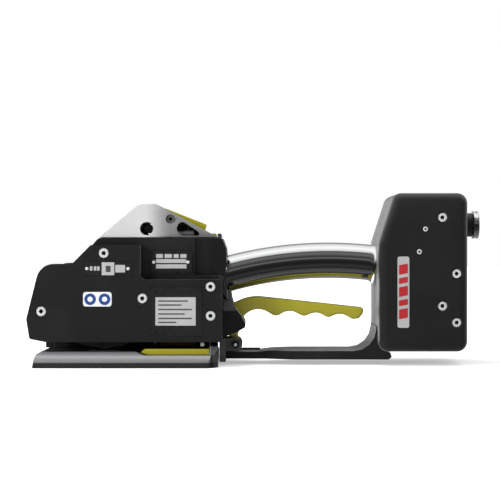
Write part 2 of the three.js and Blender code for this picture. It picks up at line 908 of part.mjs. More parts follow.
// ---------------------------------------------------------------- weld unit and cutter
const weldCylinder = () =>
  cut(
    rodZ(WELD_AXIS, 14, 52, 77.7, 32),
    rodZ(WELD_AXIS, 10.4, 56, 90, 28),
    rodZ(WELD_AXIS, 4.4, 40, 60, 16),
  );
const weldPiston = () =>
  join(
    rodZ(WELD_AXIS, 10, 66, 72, 28),
    rodZ(WELD_AXIS, 4, 33, 67, 16),
    block(-92, -57, -43.5, -13, 26.3, 34),
  );

function weldShoe() {
  const [ex, ez] = ECCENTRIC;
  const foot = ridgedPlate(-89.3, -57.5, -43, -13, 18.8, 26, 12);
  const flipped = alongY(rectangle(-89.3, 18.8, -57.5, 26), -43, -13);
  const arm = block(-80, -50, -14, -5, 20, 26);
  const ring = rodY(ECCENTRIC, 11.4, -11, -5, 28);
  const neck = block(ex - 8, ex + 8, -11, -5, 22, ez);
  return cut(join(flipped, foot, arm, neck, ring), rodY(ECCENTRIC, 8.8, -20, 0, 24));
}

const cutterBlade = () =>
  alongY(
    outline([
      [-92.4, 18.7],
      [-92.4, 40],
      [-94.6, 40],
      [-94.6, 21],
    ]),
    -43,
    -13,
  );

function eccentricShaft() {
  const [ex, ez] = ECCENTRIC;
  return join(
    rodY([ex + 0.8, ez], 4.5, -11.5, -3.5, 20),
    rodY(ECCENTRIC, 3.6, -4, 46, 16),
    rodY(ECCENTRIC, 8.8, 22, 43, 24),
  );
}

// ---------------------------------------------------------------- controls
const tensionPaddle = () =>
  cut(
    alongY(
      outline([
        [-86.6, 146.2, 0.6],
        [-47.7, 130.9, 1],
        [-49.6, 123.6, 1],
        [-56, 125.1, 2],
        [-76, 136.5, 3],
        [-80, 134.8, 3],
        [-85, 138, 3],
      ]),
      -12.8,
      12.8,
    ),
    rodY(PADDLE, 1.8, -20, 20, 12),
  );

const tensionSpool = () =>
  join(rodZ(SPOOL_AXIS, 4, 98, 117, 18), rodZ(SPOOL_AXIS, 1.5, 116, 129.2, 10));

const sealButton = () =>
  join(
    alongY(
      outline([
        [-44.6, 117.8, 0.5],
        [-43.4, 122.2, 1],
        [-38.4, 122.4, 1],
        [-37.4, 117.8, 0.5],
      ]),
      -7.5,
      7.5,
    ),
    rodZ(BUTTON_AXIS, 2.9, 103, 118.5, 14),
  );

const sealButtonTip = () =>
  alongY(
    outline([
      [-37, 118.2],
      [-37, 122.3, 0.8],
      [-33.4, 122.3, 1.3],
      [-32.8, 118.2],
    ]),
    -7,
    7,
  );

// The weld-time screw, with a knob that can be seen and reached through the hood's window.
function adjustingScrew() {
  const rod = rodX(ADJUSTER, 2.3, -84, -66, 14);
  const knob = rodX(ADJUSTER, 2.9, -68, -58.8, 20);
  return cut(join(rod, knob), block(-60.2, -50, -25.5, -24.5, 115, 130));
}

const coilSleeve = ([x, y], outer, inner, z0, z1) =>
  cut(rodZ([x, y], outer, z0, z1, 20), rodZ([x, y], inner, z0 - 1, z1 + 1, 16));

// ---------------------------------------------------------------- assembly
part("base_plate", basePlate(), STEEL);
part(
  "gripper_plate",
  ridgedPlate(GRIP.x0, GRIP.x1, GRIP.y0, GRIP.y1, GRIP.floor, GRIP.top, 14),
  STEEL,
);
part("weld_anvil", ridgedPlate(-89.3, -57.5, -43, -13, WELD_FLOOR + GAP, 14.2, 12), STEEL);
part("strap_rail", strapRail(), YELLOW);
part("rear_strap_guide", rearStrapGuide(), CHROME);
part("front_strap_stop", frontStrapStop(), BLACK);

part("head_casting", headCasting(), BLACK);
part("side_cover", sideCover(), BLACK);
part("far_cover", farCover(), BLACK);
part("exhaust_cap", exhaustCap(), BLACK);
part("hood", hood(), SILVER);
part("rear_block", rearBlock(), SATIN_BLACK);
part("foot_plate", footPlate(), SATIN_BLACK);
part("lever_bracket", leverBracket(), SATIN_BLACK);
part("name_plate", plate(NAME, CAST_NEAR - GAP), LABEL);
part("rating_plate", plate(RATING, NEAR + 1 - GAP), LABEL);
part("service_plate", plate(SERVICE, NEAR + 1 - GAP), LABEL);

COVER_SCREWS.forEach(([x, z], i) => {
  const screw = part(`side_cover_screw_${i + 1}`, capScrew(4.7, 4.4, 2.5, 20, 2.1), CHROME);
  screw.position.set(x, NEAR + 0.3, z);
});
FLANGE_SCREWS.forEach(([y, z], i) => {
  const name = i ? "flange_screw_far" : "flange_screw_near";
  const screw = part(name, capScrew(4.1, 4.5, 2.5, 7, 2), RUBBER);
  screw.position.set(FLANGE.x1 + 4.8, y, z);
  screw.rotation.z = Math.PI / 2;
});

part("handle_tube", handleTube(), CHROME);
part("support_frame", supportFrame(), SATIN_BLACK);
part("housing_shell_near", housingShell(-1), SATIN_BLACK);
part("housing_shell_far", housingShell(1), SATIN_BLACK);
part("housing_gasket", housingGasket(), RUBBER);
HOUSING_SCREWS.forEach(([x, z], i) => {
  const screw = part(`housing_screw_${i + 1}`, capScrew(4.3, 4.2, 2.5, 58, 2.2), CHROME);
  screw.position.set(x, -HOUSING_HALF + 0.4, z);
});
part("valve_block", valveBlock(), STEEL);
part("air_inlet_body", inletBody(), SATIN_BLACK);
part("inlet_swivel", inletSwivel(), CHROME);

part("hand_lever", handLever(), YELLOW);
part("lever_pin", leverPin(), CHROME);
part("lever_spring", leverSpring(), RUBBER);
part("lift_rod", liftRod(), STEEL);

part("rocker", rocker(), BLACK);
part("feed_wheel", feedWheel(), STEEL);
part("wheel_gear", wheelGear(), STEEL);
part("idler_gear", idlerGear(), STEEL);
part("tension_rotor", tensionRotor(), STEEL);
part("tension_motor", airMotor(MOTOR, 18, 13.4, SHAFT_R + GAP, 16.4, 47.4), STEEL);
part("rocker_spring", coilSleeve([-130, -25], 6, 4.4, 66.3, 98.7), STEEL);

part("weld_cylinder", weldCylinder(), STEEL);
part("weld_piston", weldPiston(), STEEL);
part("weld_spring", coilSleeve(WELD_AXIS, 8.4, 6.2, 56.3, 65.7), STEEL);
part("weld_shoe", weldShoe(), BRONZE);
part("cutter_blade", cutterBlade(), CHROME);
part("eccentric_shaft", eccentricShaft(), STEEL);
part("weld_motor", airMotor(ECCENTRIC, 11.8, 9.2, 4, 18, 47.4), STEEL);

part("tension_paddle", tensionPaddle(), YELLOW);
part("paddle_pin", rodY(PADDLE, 1.5, -17, 17, 12), CHROME);
part("tension_spool", tensionSpool(), STEEL);
part("seal_button", sealButton(), YELLOW);
part("seal_button_tip", sealButtonTip(), BRONZE);
part("adjusting_screw", adjustingScrew(), CHROME);

export default tool;
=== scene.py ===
import json
import math

import bmesh
import bpy
from mathutils import Matrix, Vector


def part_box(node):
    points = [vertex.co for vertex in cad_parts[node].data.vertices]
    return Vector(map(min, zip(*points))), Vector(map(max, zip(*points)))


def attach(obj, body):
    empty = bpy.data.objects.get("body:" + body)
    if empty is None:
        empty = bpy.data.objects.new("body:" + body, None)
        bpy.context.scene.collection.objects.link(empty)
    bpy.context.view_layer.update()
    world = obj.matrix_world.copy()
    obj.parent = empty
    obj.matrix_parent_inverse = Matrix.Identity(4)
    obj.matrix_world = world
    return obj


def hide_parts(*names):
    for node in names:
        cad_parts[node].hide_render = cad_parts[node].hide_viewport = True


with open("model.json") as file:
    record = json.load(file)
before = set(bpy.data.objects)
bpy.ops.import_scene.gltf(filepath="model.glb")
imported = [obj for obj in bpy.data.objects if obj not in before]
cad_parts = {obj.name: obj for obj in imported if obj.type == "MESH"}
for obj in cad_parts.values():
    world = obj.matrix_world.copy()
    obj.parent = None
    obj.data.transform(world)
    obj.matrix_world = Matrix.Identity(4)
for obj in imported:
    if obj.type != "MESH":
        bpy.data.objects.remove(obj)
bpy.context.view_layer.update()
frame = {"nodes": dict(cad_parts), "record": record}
MM = 0.001
SLOT_OF = {s["node"]: s["material_slot"] for s in frame["record"]["subparts"]}
BODY_OF = {n: b for b, ns in frame["record"]["behaviour"]["bodies"].items() for n in ns}
AXES = {
    # how the outline's (u, v) and the thickness w lie in X, Y, Z
    "Y": Matrix(((1, 0, 0), (0, 0, 1), (0, 1, 0))),
    "X": Matrix(((0, 0, 1), (1, 0, 0), (0, 1, 0))),
    "Z": Matrix(((1, 0, 0), (0, 1, 0), (0, 0, 1))),
}


def span(node):
    """The CAD node's box in millimetres: x0, y0, z0, x1, y1, z1."""
    lo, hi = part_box(node)
    return [c / MM for c in lo] + [c / MM for c in hi]


def middle(node):
    lo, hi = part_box(node)
    return (lo + hi) / 2 / MM


# ---------------------------------------------------------------- materials
class Finish:
    """A material with its shader, and short ways to add noise, bumps, wear and painted shade."""

    def __init__(self, name, color, rough, metal=0.0):
        self.material = bpy.data.materials.new(name)
        self.material.use_nodes = True
        self.tree = self.material.node_tree
        self.shader = self.tree.nodes["Principled BSDF"]
        self.color = (*color, 1)
        self.shader.inputs["Base Color"].default_value = self.color
        self.shader.inputs["Roughness"].default_value = rough
        self.shader.inputs["Metallic"].default_value = metal
        self.coords = self.tree.nodes.new("ShaderNodeTexCoord")
        self.height = None
        self.base = None

    def link(self, a, b):
        self.tree.links.new(a, b)

    def noise(self, scale, detail=3.0, stretch=(1, 1, 1), contrast=(0.35, 0.65)):
        mapping = self.tree.nodes.new("ShaderNodeMapping")
        mapping.inputs["Scale"].default_value = stretch
        self.link(self.coords.outputs["Object"], mapping.inputs["Vector"])
        noise = self.tree.nodes.new("ShaderNodeTexNoise")
        noise.inputs["Scale"].default_value = scale
        noise.inputs["Detail"].default_value = detail
        self.link(mapping.outputs["Vector"], noise.inputs["Vector"])
        ramp = self.tree.nodes.new("ShaderNodeMapRange")
        ramp.inputs["From Min"].default_value = contrast[0]
        ramp.inputs["From Max"].default_value = contrast[1]
        self.link(noise.outputs["Fac"], ramp.inputs["Value"])
        return ramp.outputs["Result"]

    def vary_rough(self, value, low, high):
        span_node = self.tree.nodes.new("ShaderNodeMapRange")
        span_node.inputs["To Min"].default_value = low
        span_node.inputs["To Max"].default_value = high
        self.link(value, span_node.inputs["Value"])
        self.link(span_node.outputs["Result"], self.shader.inputs["Roughness"])
        return self

    def tint(self, value, other, amount):
        mix = self.tree.nodes.new("ShaderNodeMix")
        mix.data_type = "RGBA"
        mix.inputs["A"].default_value = self.color
        mix.inputs["B"].default_value = (*other, 1)
        scaled = self.tree.nodes.new("ShaderNodeMath")
        scaled.operation = "MULTIPLY"
        scaled.inputs[1].default_value = amount
        self.link(value, scaled.inputs[0])
        self.link(scaled.outputs[0], mix.inputs["Factor"])
        if self.base is not None:
            self.link(self.base, mix.inputs["A"])
        self.base = mix.outputs["Result"]
        self.link(self.base, self.shader.inputs["Base Color"])
        return self

    def beyond(self, axis, start, end):
        """0 before start and 1 after end, in mm along one of the object's axes."""
        split = self.tree.nodes.new("ShaderNodeSeparateXYZ")
        self.link(self.coords.outputs["Object"], split.inputs[0])
        ramp = self.tree.nodes.new("ShaderNodeMapRange")
        ramp.inputs["From Min"].default_value = start * MM
        ramp.inputs["From Max"].default_value = end * MM
        self.link(split.outputs[axis], ramp.inputs["Value"])
        return ramp.outputs["Result"]

    def bump(self, value, strength, distance=0.0002):
        node = self.tree.nodes.new("ShaderNodeBump")
        node.inputs["Strength"].default_value = strength
        node.inputs["Distance"].default_value = distance
        self.link(value, node.inputs["Height"])
        if self.height is not None:
            self.link(self.height.outputs["Normal"], node.inputs["Normal"])
        self.height = node
        self.link(node.outputs["Normal"], self.shader.inputs["Normal"])
        return self

    def coat(self, weight, rough):
        self.shader.inputs["Coat Weight"].default_value = weight
        self.shader.inputs["Coat Roughness"].default_value = rough
        return self


def painted(name, color, rough, grain=2600, strength=0.25):
    f = Finish(name, color, rough)
    if max(color) < 0.02:
        f.shader.inputs["Specular IOR Level"].default_value = 0.34
        f.shader.inputs["Sheen Weight"].default_value = 0.14
        f.shader.inputs["Sheen Roughness"].default_value = 0.3
    f.bump(f.noise(grain, 2), strength, 0.00008)
    f.vary_rough(f.noise(90, 4), rough - 0.05, rough + 0.07)
    f.tint(f.noise(22, 5, contrast=(0.45, 0.75)), tuple(c * 1.5 + 0.004 for c in color), 0.35)
    return f


def metal(name, color, rough, brushed=(1, 1, 1), scale=900, strength=0.12, worn=0.4, share=1.0):
    f = Finish(name, color, rough, share)
    f.bump(f.noise(scale, 3, brushed), strength, 0.00006)
    f.vary_rough(f.noise(140, 4, brushed), max(0.03, rough - 0.03), rough + 0.05)
    f.tint(f.noise(90, 5, contrast=(0.5, 0.8)), tuple(c * 0.72 for c in color), worn)
    return f


FINISHES = {
    "black_casting": painted("black_casting", (0.0125, 0.0125, 0.0130), 0.33),
    "black_steel": painted("black_steel", (0.014, 0.014, 0.0145), 0.30, 3200, 0.15),
    "black_plastic": painted("black_plastic", (0.0125, 0.0125, 0.0130), 0.34, 3400, 0.22),
    "black_oxide": painted("black_oxide", (0.010, 0.010, 0.0105), 0.32, 3000, 0.1),
    "hood_aluminium": metal("hood_aluminium", (0.76, 0.76, 0.77), 0.40, (1, 1, 1), 1600, 0.2, 0.3, 0.42),
    "bare_aluminium": metal("bare_aluminium", (0.72, 0.72, 0.73), 0.36, (0.1, 1, 1), 1600, 0.2),
    "chrome_tube": metal("chrome_tube", (0.90, 0.905, 0.91), 0.06, (1, 1, 1), 500, 0.02, 0.1),
    "zinc_screw": metal("zinc_screw", (0.80, 0.81, 0.82), 0.36, (1, 1, 1), 1200, 0.1, 0.3, 0.4),
    "base_steel": metal("base_steel", (0.36, 0.36, 0.37), 0.36, (0.03, 1, 1), 2400, 0.06, 0.12, 0.6),
    "grey_steel": painted("grey_steel", (0.070, 0.070, 0.072), 0.45),
    "machined_steel": metal("machined_steel", (0.50, 0.50, 0.51), 0.32, (0.3, 1, 1), 1500, 0.15),
    "spring_steel": metal("spring_steel", (0.40, 0.40, 0.41), 0.25),
    "yellow_paint": painted("yellow_paint", (0.335, 0.302, 0.015), 0.34, 1300, 0.2),
    "yellow_plastic": painted("yellow_plastic", (0.46, 0.42, 0.010), 0.38, 2600, 0.2),
    "bronze_shoe": metal("bronze_shoe", (0.26, 0.15, 0.075), 0.42, (0.2, 1, 1), 1800, 0.3),
    "black_rubber": painted("black_rubber", (0.009, 0.009, 0.009), 0.7, 1800, 0.4),
    "label_plate": painted("label_plate", (0.0135, 0.0135, 0.014), 0.30, 3000, 0.1),
    # near-black painted shade for the bottoms of screw sockets
    "socket_shade": painted("socket_shade", (0.004, 0.004, 0.004), 0.6),
    "label_silver": painted("label_silver", (0.33, 0.33, 0.335), 0.40, 3000, 0.1),
    "label_ink": painted("label_ink", (0.05, 0.05, 0.052), 0.5),
    "label_white": painted("label_white", (0.62, 0.62, 0.63), 0.4),
    "label_blue": painted("label_blue", (0.012, 0.045, 0.22), 0.4),
    "label_red": painted("label_red", (0.36, 0.012, 0.016), 0.38),
}
FINISHES["yellow_paint"].coat(0.3, 0.25)
FINISHES["yellow_plastic"].coat(0.15, 0.3)
FINISHES["label_red"].coat(0.4, 0.15)
# colour of the painted shade on the base plate
PAINTED_SHADE = (0.02, 0.02, 0.021)
base_finish = FINISHES["base_steel"]
# painted shade: a darker tone laid over the base plate below, behind and at the end of its ramp, for the look
# only
RAMP_FOOT, RAMP_TOP = 4.4, -56.5
base_finish.tint(base_finish.beyond("Z", RAMP_FOOT + 1.2, RAMP_FOOT), PAINTED_SHADE, 0.9)
base_finish.tint(base_finish.beyond("Y", RAMP_TOP - 0.6, RAMP_TOP), PAINTED_SHADE, 0.85)
RAMP_END = -42.6
base_finish.tint(base_finish.beyond("X", RAMP_END, RAMP_END + 0.8), PAINTED_SHADE, 0.85)
# painted shade: a darker tone laid over the hood's tapering side, for the look only
HOOD_FOLD = (-102, -80)
hood_finish = FINISHES["hood_aluminium"]
hood_finish.tint(hood_finish.beyond("X", *HOOD_FOLD), (0.20, 0.20, 0.205), 0.72)
for glossy in ("black_plastic", "black_casting"):
    FINISHES[glossy].coat(0.25, 0.2)
FINISHES["black_plastic"].shader.inputs["Sheen Weight"].default_value = 0.35


# ---------------------------------------------------------------- shapes
def outline(corners, step=7):
    """A polygon of (u, v) or (u, v, radius), with each radius drawn as an arc."""
    points = []
    for i, corner in enumerate(corners):
        here = Vector(corner[:2])
        radius = corner[2] if len(corner) > 2 else 0
        back = (Vector(corners[i - 1][:2]) - here).normalized()
        on = (Vector(corners[(i + 1) % len(corners)][:2]) - here).normalized()
        if not radius:
            points.append(here)
            continue
        half = back.angle(on) / 2
        centre = here + (back + on).normalized() * (radius / math.sin(half))
        start = here + back * (radius / math.tan(half)) - centre
        end = here + on * (radius / math.tan(half)) - centre
        turn = math.atan2(start.x * end.y - start.y * end.x, start.dot(end))
        parts = max(3, math.ceil(abs(math.degrees(turn)) / step))
        for k in range(parts + 1):
            a = turn * k / parts
            points.append(
                centre
                + Vector(
                    (
                        start.x * math.cos(a) - start.y * math.sin(a),
                        start.x * math.sin(a) + start.y * math.cos(a),
                    )
                )
            )
    return points


def circle(u, v, r, sides=48):
    return [
        Vector((u + r * math.cos(2 * math.pi * k / sides), v + r * math.sin(2 * math.pi * k / sides)))
        for k in range(sides)
    ]


def rectangle(u0, v0, u1, v1, r=0.0):
    return outline([(u0, v0, r), (u1, v0, r), (u1, v1, r), (u0, v1, r)])


def mesh_object(name, mesh):
    obj = bpy.data.objects.new(name, mesh)
    bpy.context.scene.collection.objects.link(obj)
    return obj


def smooth(obj, sharp=38.0):
    """Smooth shading, with edges sharper than that many degrees kept, and large faces kept flat."""
    bm = bmesh.new()
    bm.from_mesh(obj.data)
    for face in bm.faces:
        face.smooth = True
    for edge in bm.edges:
        edge.smooth = edge.calc_face_angle(3.2) < math.radians(sharp)
    bm.to_mesh(obj.data)
    bm.free()
    obj.modifiers.new("flats", "WEIGHTED_NORMAL").keep_sharp = True
    return obj


def applied(obj):
    """The object with its modifiers made part of its mesh."""
    mesh = bpy.data.meshes.new_from_object(
        obj.evaluated_get(bpy.context.evaluated_depsgraph_get())
    )
    obj.modifiers.clear()
    obj.data = mesh
    return obj


def prism(name, loops, axis, w0, w1, edge=0.0, segments=3):
    """Outlines, the first one outside and the others holes, made thick along an axis.

    Sizes are in mm, and edge is the radius of the rounded edges.
    """
    curve = bpy.data.curves.new(name, "CURVE")
    curve.dimensions = "2D"
    curve.fill_mode = "BOTH"
    for loop in loops:
        spline = curve.splines.new("POLY")
        spline.points.add(len(loop) - 1)
        for point, (u, v) in zip(spline.points, loop):
            point.co = (u * MM, v * MM, 0, 1)
        spline.use_cyclic_u = True
    curve.extrude = ((w1 - w0) / 2 - edge) * MM
    curve.bevel_depth = edge * MM
    curve.bevel_resolution = segments - 1
    curve.offset = -edge * MM
    made = bpy.data.objects.new(name, curve)
    bpy.context.scene.collection.objects.link(made)
    mesh = bpy.data.meshes.new_from_object(
        made.evaluated_get(bpy.context.evaluated_depsgraph_get())
    )
    bpy.data.objects.remove(made)
    turn = AXES[axis].to_4x4()
    mesh.transform(turn @ Matrix.Translation((0, 0, (w0 + w1) / 2 * MM)))
    if turn.determinant() < 0:
        mesh.flip_normals()
    mesh.name = name
    bm = bmesh.new()
    bm.from_mesh(mesh)
    bmesh.ops.remove_doubles(bm, verts=bm.verts, dist=1e-7)
    bmesh.ops.recalc_face_normals(bm, faces=bm.faces)
    bm.to_mesh(mesh)
    bm.free()
    return smooth(mesh_object(name, mesh))


LOBES = 6  # of a screw's socket


def lathe(name, profile, centre, axis, sides=64):
    """Rings (radius, place along the axis, lobe depth) about a centre, in mm.

    An end is closed by a ring of radius 0.
    """
    bm = bmesh.new()
    rings = []
    for r, w, *rest in profile:
        depth = rest[0] if rest else 0
        if r == 0:
            rings.append([bm.verts.new((0, 0, w))])
            continue
        ring = []
        for k in range(sides):
            a = 2 * math.pi * k / sides
            radius = r * (1 + depth * math.cos(LOBES * a))
            ring.append(bm.verts.new((radius * math.cos(a), radius * math.sin(a), w)))
        rings.append(ring)
    for a, b in zip(rings, rings[1:]):
        for k in range(sides):
            n = (k + 1) % sides
            corners = [a[k % len(a)], a[n % len(a)], b[n % len(b)], b[k % len(b)]]
            bm.faces.new(list(dict.fromkeys(corners)))
    bmesh.ops.recalc_face_normals(bm, faces=bm.faces)
    mesh = bpy.data.meshes.new(name)
    bm.to_mesh(mesh)
    bm.free()
    turn = Matrix.Scale(MM, 4) @ Matrix.Translation(centre) @ AXES[axis].to_4x4()
    mesh.transform(turn)
    if turn.determinant() < 0:
        mesh.flip_normals()
    return smooth(mesh_object(name, mesh), 30)


def swept(name, path, radius, sides=16):
    """A round bar along a list of points in mm. radius is a number, or a function of the point's index."""
    bm = bmesh.new()
    rings = []
    normal = None
    for i, point in enumerate(path):
        ahead = path[min(i + 1, len(path) - 1)] - path[max(i - 1, 0)]
        tangent = ahead.normalized()
        if normal is None:
            normal = tangent.orthogonal().normalized()
        normal = (normal - tangent * normal.dot(tangent)).normalized()
        other = tangent.cross(normal)
        r = radius(i) if callable(radius) else radius
        rings.append(
            [
                bm.verts.new(
                    (
                        point
                        + normal * (r * math.cos(2 * math.pi * k / sides))
                        + other * (r * math.sin(2 * math.pi * k / sides))
                    )
                    * MM
                )
                for k in range(sides)
            ]
        )
    for a, b in zip(rings, rings[1:]):
        for k in range(sides):
            n = (k + 1) % sides
            bm.faces.new((a[k], a[n], b[n], b[k]))
    bm.faces.new(list(reversed(rings[0])))
    bm.faces.new(rings[-1])
    bmesh.ops.recalc_face_normals(bm, faces=bm.faces)
    mesh = bpy.data.meshes.new(name)
    bm.to_mesh(mesh)
    bm.free()
    return smooth(mesh_object(name, mesh), 50)


def combined(name, *objs):
    """Several objects as one, with their modifiers made real."""
    bm = bmesh.new()
    for obj in objs:
        bm.from_mesh(applied(obj).data)
    mesh = bpy.data.meshes.new(name)
    bm.to_mesh(mesh)
    bm.free()
    for obj in objs:
        bpy.data.objects.remove(obj)
    return mesh_object(name, mesh)


def boolean(obj, cutters, operation="DIFFERENCE"):
    for cutter in cutters:
        modifier = obj.modifiers.new("cut", "BOOLEAN")
        modifier.operation = operation
        modifier.object = cutter
        modifier.solver = "EXACT"
    applied(obj)
    for cutter in cutters:
        bpy.data.objects.remove(cutter)
    return obj


def bevelled(obj, width, segments=3, angle=30.0):
    """Edges sharper than that angle rounded off, by a width in mm."""
    modifier = obj.modifiers.new("edges", "BEVEL")
    modifier.limit_method = "ANGLE"
    modifier.angle_limit = math.radians(angle)
    modifier.width = width * MM
    modifier.segments = segments
    return obj


def fitted(obj, node):
    """Moves and sizes obj a little, so that it fills the CAD node's box exactly."""
    lo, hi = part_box(node)
    co = [v.co for v in obj.data.vertices]
    a = Vector([min(c[i] for c in co) for i in range(3)])
    b = Vector([max(c[i] for c in co) for i in range(3)])
    for i in range(3):
        if abs(a[i] - lo[i]) > 0.003 or abs(b[i] - hi[i]) > 0.003:
            print("FIT", node, "xyz"[i], a[i] / MM, lo[i] / MM, b[i] / MM, hi[i] / MM)
    for v in obj.data.vertices:
        for i in range(3):
            v.co[i] = lo[i] + (v.co[i] - a[i]) * (hi[i] - lo[i]) / (b[i] - a[i])
    return obj


def placed(obj, material, body, replaces=()):
    """Gives a piece its finish and its place in the frame."""
    obj.data.materials.clear()
    obj.data.materials.append(FINISHES[material].material)
    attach(obj, body)
    if replaces:
        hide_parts(*replaces)
    return obj


def stands_for(obj, node):
    """A piece made to fill a CAD node's box, in the node's own finish."""
    fitted(obj, node)
    return placed(obj, SLOT_OF[node], BODY_OF[node], [node])


def dressed(node, width=0.5, segments=2, material=None):
    """The CAD node's own shape as clean faces with rounded edges."""
    bm = bmesh.new()
    bm.from_mesh(frame["nodes"][node].data)
    bmesh.ops.remove_doubles(bm, verts=bm.verts, dist=2e-6)
    bmesh.ops.dissolve_limit(bm, angle_limit=math.radians(0.8), verts=bm.verts, edges=bm.edges)
    mesh = bpy.data.meshes.new(node + "_look")
    bm.to_mesh(mesh)
    bm.free()
    obj = mesh_object(node + "_look", mesh)
    bevelled(obj, width, segments)
    smooth(applied(obj), 40)
    return placed(obj, material or SLOT_OF[node], BODY_OF[node], [node])


# ---------------------------------------------------------------- screws
HEAD_DEPTH = 3.0


def cap_screw(node, axis, face, inward, head=4.6):
    """A screw head with a six-lobed socket, at its CAD node's middle.

    face is the head's outer face, inward the sign of the way into the tool and head its radius.
    """
    centre = middle(node)
    index = "XYZ".index(axis)
    centre[index] = face
    s = inward
    profile = [
        (0, 2.2 * s),
        (1.95, 2.2 * s, 0.14),
        (1.95, 0.25 * s, 0.14),
        (2.25, 0.0, 0.10),
        (head * 0.72, 0.0),
        (head - 0.35, 0.25 * s),
        (head, 0.75 * s),
        (head, HEAD_DEPTH * s),
        (2.5, (HEAD_DEPTH + 1.2) * s),
        (2.5, (HEAD_DEPTH + 10) * s),
        (0, (HEAD_DEPTH + 10) * s),
    ]
    obj = lathe(node + "_look", profile, centre, axis, 72)
    # a near-black disc at the socket's bottom: painted shade in the recess
    socket = lathe(
        node + "_socket",
        [(0, 1.9 * s), (1.93, 1.9 * s, 0.14), (1.93, 2.15 * s, 0.14), (0, 2.15 * s)],
        centre,
        axis,
        72,
    )
    placed(socket, "socket_shade", BODY_OF[node])
    return placed(obj, SLOT_OF[node], BODY_OF[node], [node])


cover_face = span("side_cover")[1]
for i in range(1, 6):
    cap_screw(f"side_cover_screw_{i}", "Y", cover_face + 0.8, 1)
housing_face = span("housing_shell_near")[1]
for i in range(1, 5):
    cap_screw(f"housing_screw_{i}", "Y", housing_face + 0.7, 1, 4.25)

# screws on the far cover, opposite the near ones, wherever its wall faces straight out
FAR_HEAD = [
    (0, -1.9),
    (1.93, -1.9, 0.14),
    (1.93, -0.25, 0.14),
    (2.25, 0, 0.10),
    (3.3, 0),
    (4.25, -0.25),
    (4.6, -0.75),
    (4.6, -2.2),
    (0, -2.2),
]
for i in range(1, 6):
    m = middle(f"side_cover_screw_{i}")
    start = Vector((m.x, 80, m.z)) * MM
    hit, place, normal, _ = frame["nodes"]["far_cover"].ray_cast(start, Vector((0, -1, 0)))
    if hit and normal.y > 0.99:
        seat = Vector((m.x, place.y / MM + 0.8, m.z))
        far_head = lathe(f"far_cover_screw_{i}", FAR_HEAD, seat, "Y", 72)
        placed(far_head, "zinc_screw", "head")

for node in ("flange_screw_near", "flange_screw_far"):
    x0, y0, z0, x1, y1, z1 = span(node)
    r = (y1 - y0) / 2
    head = lathe(
        node + "_look",
        [
            (0, -2.4),
            (2.0, -2.4),
            (2.0, -0.2),
            (2.3, 0),
            (r - 0.5, 0),
            (r - 0.1, -0.4),
            (r, -0.8),
            (r, -4.5),
            (2.5, -4.5),
            (2.5, x0 - x1),
            (0, x0 - x1),
        ],
        middle(node) + Vector(((x1 - x0) / 2, 0, 0)),
        "X",
        60,
    )
    ribs = head.data.vertices
    for v in ribs:
        offset = Vector((v.co.y / MM - middle(node).y, v.co.z / MM - middle(node).z))
        if offset.length > r - 0.3 and v.co.x / MM > x1 - 4.3:
            angle = math.atan2(offset.y, offset.x)
            scale = 1 + 0.025 * (1 if int(round(angle / (2 * math.pi) * 60)) % 2 else -1)
            v.co.y = (middle(node).y + offset.x * scale) * MM
            v.co.z = (middle(node).z + offset.y * scale) * MM
    placed(head, SLOT_OF[node], BODY_OF[node], [node])

# ---------------------------------------------------------------- rear housing
x0, y0, z0, x1, _, z1 = span("housing_shell_near")
y1 = span("housing_shell_far")[4]
inlet = middle("inlet_swivel")
housing_line = outline(
    [
        (x0, z0, 9.5),
        (x1, z0, 9.5),
        (x1, z1, 9.5),
        (x0 + 14.5, z1, 9.5),
        (x0, z0 + 101, 14),
    ]
)
SHELL = 4.5
for side, node in ((-1, "housing_shell_near"), (1, "housing_shell_far")):
    body = prism(node + "_look", [housing_line], "Y", y0, y1, 8.5, 8)
    body.modifiers.clear()
    bm = bmesh.new()
    bm.from_mesh(body.data)
    bmesh.ops.bisect_plane(
        bm,
        geom=bm.verts[:] + bm.edges[:] + bm.faces[:],
        plane_co=(0, side * 0.5 * MM, 0),
        plane_no=(0, -side, 0),
        clear_outer=True,
    )
    bm.to_mesh(body.data)
    bm.free()
    wall = body.modifiers.new("wall", "SOLIDIFY")
    wall.thickness = SHELL * MM
    wall.offset = -1
    applied(body)
    cutters = [prism("cutter", [circle(inlet.y, inlet.z, 8.4)], "X", x1 - 14, x1 + 10)]
    if side < 0:
        for i in range(1, 5):
            m = middle(f"housing_screw_{i}")
            cutters.append(prism("cutter", [circle(m.x, m.z, 4.9)], "Y", y0 - 5, y0 + 4.2))
            cutters.append(prism("cutter", [circle(m.x, m.z, 2.9)], "Y", y0 - 5, y0 + 8))
    boolean(body, cutters)
    smooth(body, 35)
    stands_for(body, node)
dressed("housing_gasket", 0.1)

for i, (u, v) in enumerate(((0.519, 0.773), (0.451, 0.63))):
    c = Vector((x0 + u * (x1 - x0), y0 - 0.25, z0 + v * (z1 - z0)))
    pin = lathe(
        f"housing_plug_{i + 1}",
        [(0, 0.9), (1.0, 0.9), (1.15, 0.1), (1.5, 0), (2.2, 0.25), (2.4, 1.2), (0, 1.2)],
        c,
        "Y",
        40,
    )
    placed(pin, "zinc_screw", "head")

